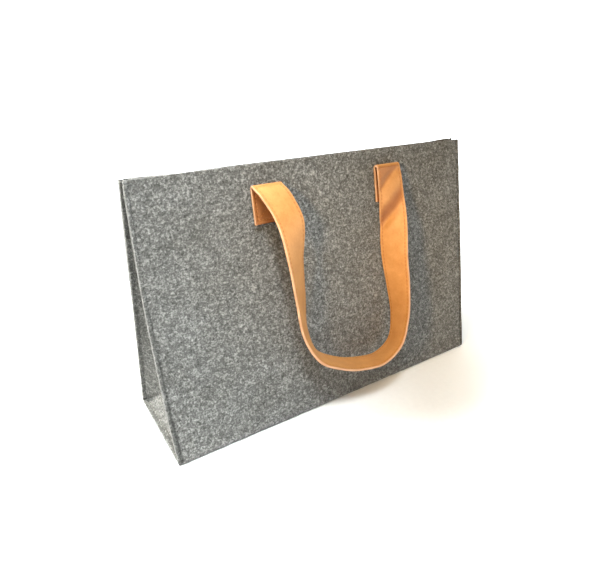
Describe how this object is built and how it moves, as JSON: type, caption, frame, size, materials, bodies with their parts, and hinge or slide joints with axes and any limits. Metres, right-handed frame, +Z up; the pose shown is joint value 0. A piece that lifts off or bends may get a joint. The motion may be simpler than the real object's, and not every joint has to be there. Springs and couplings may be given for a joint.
{
  "type": "knitting bag",
  "caption": "Self-standing felt tote for knitting, with leaning panels that meet at the mouth, V-folded end gussets and stitched strap handles that fold down over their tabs.",
  "frame": {"origin": "on the ground under the middle of the bottom", "axes": "+X along the width, +Y from the front panel to the back panel, +Z up"},
  "size_m": [0.4, 0.1756, 0.2668],
  "materials": {
    "felt": "matte wool felt, mottled grey",
    "gusset_felt": "matte wool felt, mottled grey",
    "strap": "satin leather look, tan, with pale cut edges",
    "felt_thread": "matte grey sewing thread",
    "strap_thread": "satin tan sewing thread"
  },
  "bodies": {
    "base": {"bottom_panel": "felt", "left_gusset_bottom_strip": "gusset_felt", "left_bottom_seam_thread": "felt_thread", "right_gusset_bottom_strip": "gusset_felt", "right_bottom_seam_thread": "felt_thread"},
    "front": {"front_panel": "felt", "front_left_seam_thread": "felt_thread", "left_gusset_front_seam_strip": "gusset_felt", "front_right_seam_thread": "felt_thread", "right_gusset_front_seam_strip": "gusset_felt", "front_handle_left_tab": "strap", "front_handle_left_tab_stitching": "strap_thread", "front_handle_left_fold": "strap", "front_handle_right_tab": "strap", "front_handle_right_tab_stitching": "strap_thread", "front_handle_right_fold": "strap"},
    "back": {"back_panel": "felt", "back_right_seam_thread": "felt_thread", "right_gusset_back_seam_strip": "gusset_felt", "back_left_seam_thread": "felt_thread", "left_gusset_back_seam_strip": "gusset_felt", "back_handle_right_tab": "strap", "back_handle_right_tab_stitching": "strap_thread", "back_handle_right_fold": "strap", "back_handle_left_tab": "strap", "back_handle_left_tab_stitching": "strap_thread", "back_handle_left_fold": "strap"},
    "front_handle": {"front_handle_loop": "strap", "front_handle_outer_edge_stitching": "strap_thread", "front_handle_inner_edge_stitching": "strap_thread"},
    "back_handle": {"back_handle_loop": "strap", "back_handle_outer_edge_stitching": "strap_thread", "back_handle_inner_edge_stitching": "strap_thread"},
    "left_gusset_bottom": {"left_gusset_foot": "gusset_felt"},
    "left_gusset_front": {"left_gusset_front_half": "gusset_felt"},
    "left_gusset_back": {"left_gusset_back_half": "gusset_felt"},
    "right_gusset_bottom": {"right_gusset_foot": "gusset_felt"},
    "right_gusset_front": {"right_gusset_front_half": "gusset_felt"},
    "right_gusset_back": {"right_gusset_back_half": "gusset_felt"}
  },
  "joints": [
    {"name": "mouth_opening", "type": "hinge", "parent": "base", "child": "front", "pos_m": [0, -0.05875, 0.00125], "axis": [1, 0, 0], "range_deg": [0, 11.49]},
    {"name": "back_panel_opening", "type": "hinge", "parent": "base", "child": "back", "pos_m": [0, 0.05875, 0.00125], "axis": [-1, 0, 0], "range_deg": [0, 11.49]},
    {"name": "front_handle_swing", "type": "hinge", "parent": "front", "child": "front_handle", "pos_m": [0, -0.01403, 0.24804], "axis": [-1, 0, 0], "range_deg": [0, 150], "deforming": ["front_handle_left_fold", "front_handle_right_fold"]},
    {"name": "back_handle_swing", "type": "hinge", "parent": "back", "child": "back_handle", "pos_m": [0, 0.01403, 0.24804], "axis": [1, 0, 0], "range_deg": [0, 150], "deforming": ["back_handle_left_fold", "back_handle_right_fold"]},
    {"name": "left_gusset_foot_tilt", "type": "hinge", "parent": "base", "child": "left_gusset_bottom", "pos_m": [-0.1933, 0, 0.0043], "axis": [0, -1, 0], "range_deg": [0, 39.3]},
    {"name": "left_gusset_front_fold", "type": "hinge", "parent": "front", "child": "left_gusset_front", "pos_m": [-0.1945, -0.05601, 0.00069], "axis": [0, 0.1993, 0.9799], "range_deg": [0, 90], "deforming": ["left_gusset_front_half"]},
    {"name": "left_gusset_back_fold", "type": "hinge", "parent": "back", "child": "left_gusset_back", "pos_m": [-0.1945, 0.05601, 0.00069], "axis": [0, 0.1993, -0.9799], "range_deg": [0, 90], "deforming": ["left_gusset_back_half"]},
    {"name": "right_gusset_foot_tilt", "type": "hinge", "parent": "base", "child": "right_gusset_bottom", "pos_m": [0.1933, 0, 0.0043], "axis": [0, 1, 0], "range_deg": [0, 39.3]},
    {"name": "right_gusset_front_fold", "type": "hinge", "parent": "front", "child": "right_gusset_front", "pos_m": [0.1945, -0.05601, 0.00069], "axis": [0, -0.1993, -0.9799], "range_deg": [0, 90], "deforming": ["right_gusset_front_half"]},
    {"name": "right_gusset_back_fold", "type": "hinge", "parent": "back", "child": "right_gusset_back", "pos_m": [0.1945, 0.05601, 0.00069], "axis": [0, -0.1993, 0.9799], "range_deg": [0, 90], "deforming": ["right_gusset_back_half"]}
  ],
  "couplings": [
    {"joint": "back_panel_opening", "follows": "mouth_opening", "ratio": 1},
    {"joint": "left_gusset_foot_tilt", "follows": "mouth_opening", "ratio": 3.42},
    {"joint": "left_gusset_front_fold", "follows": "mouth_opening", "ratio": 7.832},
    {"joint": "left_gusset_back_fold", "follows": "mouth_opening", "ratio": 7.832},
    {"joint": "right_gusset_foot_tilt", "follows": "mouth_opening", "ratio": 3.42},
    {"joint": "right_gusset_front_fold", "follows": "mouth_opening", "ratio": 7.832},
    {"joint": "right_gusset_back_fold", "follows": "mouth_opening", "ratio": 7.832}
  ]
}
